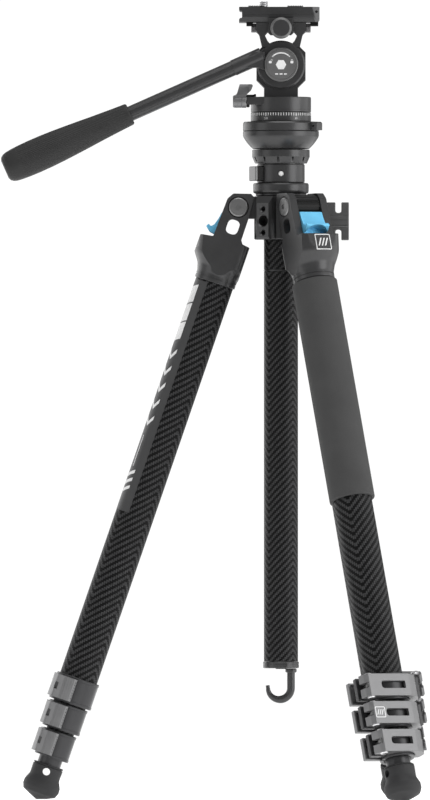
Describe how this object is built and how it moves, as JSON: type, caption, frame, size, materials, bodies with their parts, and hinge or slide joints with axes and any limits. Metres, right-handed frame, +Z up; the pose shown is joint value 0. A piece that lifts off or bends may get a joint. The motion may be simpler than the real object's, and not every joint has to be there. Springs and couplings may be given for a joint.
{
  "type": "tripod with fluid head",
  "caption": "Compact carbon tripod with sliding column, flip-lock telescopic legs, levelling base and a pan-and-tilt fluid head with handle and quick-release plate.",
  "frame": {"origin": "middle of the object's box, on the floor under it", "axes": "+Z up; +X across the front view, away from the pan handle; -Y is the front, where the tilt knob faces"},
  "size_m": [0.3166, 0.3364, 0.5905],
  "materials": {
    "carbon_tube": "satin twill-weave carbon fibre",
    "carbon_section": "satin carbon tube with an anodised collar",
    "grey_collar": "dark grey satin anodised",
    "grey_lever": "mid grey satin anodised",
    "blue_tab": "sky blue anodised",
    "silver_cap": "grey satin anodised",
    "rubber_foot": "matt",
    "foam": "matt embossed foam",
    "rubber_grip": "matt with fine ribs",
    "bright_steel": "bright plated",
    "dark_casting": "charcoal satin anodised"
  },
  "bodies": {
    "hub": {"spider": "dark_casting", "column_collar": "dark_casting"},
    "left_leg": {"left_leg_bracket": "dark_casting", "left_leg_hinge_bolt": "silver_cap", "left_leg_tube_1": "carbon_tube", "left_leg_collar_1": "grey_collar"},
    "left_leg_tab": {"left_leg_angle_tab": "blue_tab"},
    "left_leg_upper_lever": {"left_leg_lever_1": "grey_lever"},
    "left_leg_middle_section": {"left_leg_section_2": "carbon_section"},
    "left_leg_middle_lever": {"left_leg_lever_2": "grey_lever"},
    "left_leg_lower_section": {"left_leg_section_3": "carbon_section"},
    "left_leg_lower_lever": {"left_leg_lever_3": "grey_lever"},
    "left_leg_foot_section": {"left_leg_tube_4": "carbon_tube", "left_leg_foot": "rubber_foot"},
    "front_leg": {"front_leg_bracket": "dark_casting", "front_leg_hinge_bolt": "silver_cap", "front_leg_tube_1": "carbon_tube", "front_leg_collar_1": "grey_collar", "foam_grip": "foam"},
    "front_leg_tab": {"front_leg_angle_tab": "blue_tab"},
    "front_leg_upper_lever": {"front_leg_lever_1": "grey_lever"},
    "front_leg_middle_section": {"front_leg_section_2": "carbon_section"},
    "front_leg_middle_lever": {"front_leg_lever_2": "grey_lever"},
    "front_leg_lower_section": {"front_leg_section_3": "carbon_section"},
    "front_leg_lower_lever": {"front_leg_lever_3": "grey_lever"},
    "front_leg_foot_section": {"front_leg_tube_4": "carbon_tube", "front_leg_foot": "rubber_foot"},
    "rear_leg": {"rear_leg_bracket": "dark_casting", "rear_leg_hinge_bolt": "silver_cap", "rear_leg_tube_1": "carbon_tube", "rear_leg_collar_1": "grey_collar"},
    "rear_leg_tab": {"rear_leg_angle_tab": "blue_tab"},
    "rear_leg_upper_lever": {"rear_leg_lever_1": "grey_lever"},
    "rear_leg_middle_section": {"rear_leg_section_2": "carbon_section"},
    "rear_leg_middle_lever": {"rear_leg_lever_2": "grey_lever"},
    "rear_leg_lower_section": {"rear_leg_section_3": "carbon_section"},
    "rear_leg_lower_lever": {"rear_leg_lever_3": "grey_lever"},
    "rear_leg_foot_section": {"rear_leg_tube_4": "carbon_tube", "rear_leg_foot": "rubber_foot"},
    "column": {"column_upper": "carbon_tube", "column_lower": "carbon_tube", "column_end_ring": "dark_casting", "weight_hook": "dark_casting", "levelling_neck": "dark_casting"},
    "column_knob": {"column_lock_knob": "dark_casting"},
    "release_button": {"neck_release_button": "grey_collar"},
    "level_ring": {"levelling_ring": "dark_casting"},
    "level_bowl": {"levelling_bowl": "dark_casting", "clamp_plate": "dark_casting", "pan_base": "dark_casting"},
    "pan_head": {"head_frame": "dark_casting"},
    "pan_lock": {"pan_lock_lever": "grey_lever"},
    "tilt_head": {"tilt_platform": "dark_casting", "plate_clamp": "dark_casting", "handle_rod": "dark_casting", "handle_grip": "rubber_grip"},
    "tilt_knob": {"tilt_lock_knob": "grey_collar"},
    "plate_knob": {"plate_lock_knob": "dark_casting"},
    "camera_plate": {"quick_release_plate": "dark_casting"},
    "plate_screw": {"camera_screw": "bright_steel"}
  },
  "joints": [
    {"name": "left_leg_spread", "type": "hinge", "parent": "hub", "child": "left_leg", "pos_m": [0.0171, 0.001, 0.4377], "axis": [0, 1, 0], "range_deg": [-19, 60]},
    {"name": "left_leg_tab_pull", "type": "hinge", "parent": "left_leg", "child": "left_leg_tab", "pos_m": [0.00331, 0.001, 0.41855], "axis": [0, -1, 0], "range_deg": [0, 18], "stiffness_Nm_per_rad": 0.1},
    {"name": "left_leg_slide_1", "type": "slide", "parent": "left_leg", "child": "left_leg_middle_section", "axis": [-0.3256, 0, -0.9455], "range_m": [0, 0.28]},
    {"name": "left_leg_slide_2", "type": "slide", "parent": "left_leg_middle_section", "child": "left_leg_lower_section", "axis": [-0.3256, 0, -0.9455], "range_m": [0, 0.28]},
    {"name": "left_leg_slide_3", "type": "slide", "parent": "left_leg_lower_section", "child": "left_leg_foot_section", "axis": [-0.3256, 0, -0.9455], "range_m": [0, 0.28]},
    {"name": "left_leg_upper_lock", "type": "hinge", "parent": "left_leg", "child": "left_leg_upper_lever", "pos_m": [-0.11762, 0.0225, 0.08452], "axis": [-0.3256, 0, -0.9455], "range_deg": [0, 110]},
    {"name": "left_leg_middle_lock", "type": "hinge", "parent": "left_leg_middle_section", "child": "left_leg_middle_lever", "pos_m": [-0.1232, 0.0217, 0.06434], "axis": [-0.3256, 0, -0.9455], "range_deg": [0, 110]},
    {"name": "left_leg_lower_lock", "type": "hinge", "parent": "left_leg_lower_section", "child": "left_leg_lower_lever", "pos_m": [-0.12938, 0.0186, 0.04394], "axis": [-0.3256, 0, -0.9455], "range_deg": [0, 110]},
    {"name": "front_leg_spread", "type": "hinge", "parent": "hub", "child": "front_leg", "pos_m": [0.06435, -0.02628, 0.4377], "axis": [-0.866, -0.5, 0], "range_deg": [-19, 60]},
    {"name": "front_leg_tab_pull", "type": "hinge", "parent": "front_leg", "child": "front_leg_tab", "pos_m": [0.07124, -0.03822, 0.41855], "axis": [0.866, 0.5, 0], "range_deg": [0, 18], "stiffness_Nm_per_rad": 0.1},
    {"name": "front_leg_slide_1", "type": "slide", "parent": "front_leg", "child": "front_leg_middle_section", "axis": [0.1628, -0.282, -0.9455], "range_m": [0, 0.28]},
    {"name": "front_leg_slide_2", "type": "slide", "parent": "front_leg_middle_section", "child": "front_leg_lower_section", "axis": [0.1628, -0.282, -0.9455], "range_m": [0, 0.28]},
    {"name": "front_leg_slide_3", "type": "slide", "parent": "front_leg_lower_section", "child": "front_leg_foot_section", "axis": [0.1628, -0.282, -0.9455], "range_m": [0, 0.28]},
    {"name": "front_leg_upper_lock", "type": "hinge", "parent": "front_leg", "child": "front_leg_upper_lever", "pos_m": [0.11309, -0.1537, 0.08452], "axis": [0.1628, -0.282, -0.9455], "range_deg": [0, 110]},
    {"name": "front_leg_middle_lock", "type": "hinge", "parent": "front_leg_middle_section", "child": "front_leg_middle_lever", "pos_m": [0.11657, -0.15813, 0.06434], "axis": [0.1628, -0.282, -0.9455], "range_deg": [0, 110]},
    {"name": "front_leg_lower_lock", "type": "hinge", "parent": "front_leg_lower_section", "child": "front_leg_lower_lever", "pos_m": [0.12235, -0.16193, 0.04394], "axis": [0.1628, -0.282, -0.9455], "range_deg": [0, 110]},
    {"name": "rear_leg_spread", "type": "hinge", "parent": "hub", "child": "rear_leg", "pos_m": [0.06435, 0.02828, 0.4377], "axis": [0.866, -0.5, 0], "range_deg": [-19, 60]},
    {"name": "rear_leg_tab_pull", "type": "hinge", "parent": "rear_leg", "child": "rear_leg_tab", "pos_m": [0.07124, 0.04022, 0.41855], "axis": [-0.866, 0.5, 0], "range_deg": [0, 18], "stiffness_Nm_per_rad": 0.1},
    {"name": "rear_leg_slide_1", "type": "slide", "parent": "rear_leg", "child": "rear_leg_middle_section", "axis": [0.1628, 0.282, -0.9455], "range_m": [0, 0.28]},
    {"name": "rear_leg_slide_2", "type": "slide", "parent": "rear_leg_middle_section", "child": "rear_leg_lower_section", "axis": [0.1628, 0.282, -0.9455], "range_m": [0, 0.28]},
    {"name": "rear_leg_slide_3", "type": "slide", "parent": "rear_leg_lower_section", "child": "rear_leg_foot_section", "axis": [0.1628, 0.282, -0.9455], "range_m": [0, 0.28]},
    {"name": "rear_leg_upper_lock", "type": "hinge", "parent": "rear_leg", "child": "rear_leg_upper_lever", "pos_m": [0.15033, 0.1342, 0.08452], "axis": [0.1628, 0.282, -0.9455], "range_deg": [0, 110]},
    {"name": "rear_leg_middle_lock", "type": "hinge", "parent": "rear_leg_middle_section", "child": "rear_leg_middle_lever", "pos_m": [0.15243, 0.13943, 0.06434], "axis": [0.1628, 0.282, -0.9455], "range_deg": [0, 110]},
    {"name": "rear_leg_lower_lock", "type": "hinge", "parent": "rear_leg_lower_section", "child": "rear_leg_lower_lever", "pos_m": [0.15283, 0.14633, 0.04394], "axis": [0.1628, 0.282, -0.9455], "range_deg": [0, 110]},
    {"name": "column_rise", "type": "slide", "parent": "hub", "child": "column", "axis": [0, 0, 1], "range_m": [0, 0.29]},
    {"name": "column_knob_turn", "type": "hinge", "parent": "hub", "child": "column_knob", "pos_m": [0.0765, 0.001, 0.4275], "axis": [1, 0, 0], "range_deg": [0, 360]},
    {"name": "release_press", "type": "slide", "parent": "column", "child": "release_button", "axis": [0.9063, 0.4226, 0], "range_m": [0, 0.002], "stiffness_N_per_m": 300},
    {"name": "level_ring_turn", "type": "hinge", "parent": "column", "child": "level_ring", "pos_m": [0.0486, 0.001, 0.475], "axis": [0, 0, 1], "range_deg": [0, 90]},
    {"name": "level_tilt", "type": "hinge", "parent": "column", "child": "level_bowl", "pos_m": [0.0486, 0.001, 0.50485], "axis": [0, 1, 0], "range_deg": [-7, 7]},
    {"name": "pan", "type": "hinge", "parent": "level_bowl", "child": "pan_head", "pos_m": [0.0486, 0.001, 0.5145], "axis": [0, 0, 1], "continuous": true},
    {"name": "pan_lock_turn", "type": "hinge", "parent": "pan_head", "child": "pan_lock", "pos_m": [0.0229, -0.013, 0.5158], "axis": [1, 0, 0], "range_deg": [0, 75]},
    {"name": "tilt", "type": "hinge", "parent": "pan_head", "child": "tilt_head", "pos_m": [0.0486, 0.001, 0.543], "axis": [0, 1, 0], "range_deg": [-38, 90]},
    {"name": "tilt_knob_turn", "type": "hinge", "parent": "tilt_head", "child": "tilt_knob", "pos_m": [0.0486, -0.0183, 0.543], "axis": [0, -1, 0], "range_deg": [0, 90]},
    {"name": "plate_knob_turn", "type": "hinge", "parent": "tilt_head", "child": "plate_knob", "pos_m": [0.0486, -0.0243, 0.5698], "axis": [0, -1, 0], "range_deg": [0, 360]},
    {"name": "plate_shift", "type": "slide", "parent": "tilt_head", "child": "camera_plate", "axis": [1, 0, 0], "range_m": [-0.0028, 0.0018]},
    {"name": "camera_screw_turn", "type": "hinge", "parent": "camera_plate", "child": "plate_screw", "pos_m": [0.0359, 0.001, 0.5799], "axis": [0, 0, 1], "continuous": true}
  ]
}
